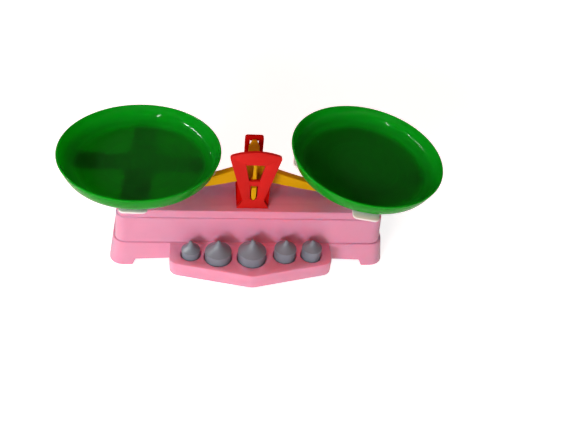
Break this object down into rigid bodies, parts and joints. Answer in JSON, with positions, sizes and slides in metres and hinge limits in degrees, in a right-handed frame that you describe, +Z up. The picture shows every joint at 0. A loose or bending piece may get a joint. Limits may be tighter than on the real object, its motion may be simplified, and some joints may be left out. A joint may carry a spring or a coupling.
{
  "type": "toy balance scale",
  "caption": "Plastic toy two-pan balance: stepped hollow base, fulcrum stand with pointer, gull-wing beam, carriers kept upright by a hidden stay, lift-off dishes and a tray of loose weights",
  "frame": {"origin": "on the ground under the middle of the base", "axes": "+X to the right seen from the front, along the beam; +Y to the back; +Z up"},
  "size_m": [0.3351, 0.1394, 0.1228],
  "materials": {
    "pink": "satin moulded",
    "red": "satin moulded",
    "yellow": "satin moulded",
    "white": "satin moulded",
    "green": "glossy moulded, slightly translucent",
    "grey": "satin moulded",
    "steel": "plain"
  },
  "bodies": {
    "base": {"base_housing": "pink", "weight_tray": "pink", "stand_front_plate": "red", "stand_rear_frame": "red", "stand_screw_front": "steel", "stand_screw_rear": "steel", "stay_center_pin": "white"},
    "balance_arm": {"beam": "yellow", "beam_pin_left": "white", "beam_pin_right": "white"},
    "left_carrier": {"pan_carrier_left": "white", "stay_pin_left": "white"},
    "right_carrier": {"pan_carrier_right": "white", "stay_pin_right": "white"},
    "stay_link": {"lower_stay": "white"},
    "left_dish": {"pan_left": "green"},
    "right_dish": {"pan_right": "green"},
    "loose_weight_1": {"weight_1": "grey"},
    "loose_weight_2": {"weight_2": "grey"},
    "loose_weight_3": {"weight_3": "grey"},
    "loose_weight_4": {"weight_4": "grey"},
    "loose_weight_5": {"weight_5": "grey"}
  },
  "joints": [
    {"name": "beam_tilt", "type": "hinge", "parent": "base", "child": "balance_arm", "pos_m": [0, 0, 0.0714], "axis": [0, 1, 0], "range_deg": [-3, 3]},
    {"name": "left_carrier_pivot", "type": "hinge", "parent": "balance_arm", "child": "left_carrier", "pos_m": [-0.0974, 0, 0.0696], "axis": [0, 1, 0], "range_deg": [-3, 3]},
    {"name": "right_carrier_pivot", "type": "hinge", "parent": "balance_arm", "child": "right_carrier", "pos_m": [0.0974, 0, 0.0696], "axis": [0, 1, 0], "range_deg": [-3, 3]},
    {"name": "stay_tilt", "type": "hinge", "parent": "base", "child": "stay_link", "pos_m": [0, 0, 0.0244], "axis": [0, 1, 0], "range_deg": [-3, 3]},
    {"name": "left_pan_lift", "type": "slide", "parent": "left_carrier", "child": "left_dish", "axis": [0, 0, 1], "range_m": [0, 0.04]},
    {"name": "right_pan_lift", "type": "slide", "parent": "right_carrier", "child": "right_dish", "axis": [0.0759, -0.0673, 0.9948], "range_m": [0, 0.04]},
    {"name": "weight_1_lift", "type": "slide", "parent": "base", "child": "loose_weight_1", "axis": [0, 0, 1], "range_m": [0, 0.025]},
    {"name": "weight_2_lift", "type": "slide", "parent": "base", "child": "loose_weight_2", "axis": [0, 0, 1], "range_m": [0, 0.025]},
    {"name": "weight_3_lift", "type": "slide", "parent": "base", "child": "loose_weight_3", "axis": [0, 0, 1], "range_m": [0, 0.025]},
    {"name": "weight_4_lift", "type": "slide", "parent": "base", "child": "loose_weight_4", "axis": [0, 0, 1], "range_m": [0, 0.025]},
    {"name": "weight_5_lift", "type": "slide", "parent": "base", "child": "loose_weight_5", "axis": [0, 0, 1], "range_m": [0, 0.025]}
  ],
  "couplings": [
    {"joint": "left_carrier_pivot", "follows": "beam_tilt", "ratio": -1},
    {"joint": "right_carrier_pivot", "follows": "beam_tilt", "ratio": -1},
    {"joint": "stay_tilt", "follows": "beam_tilt", "ratio": 1}
  ]
}
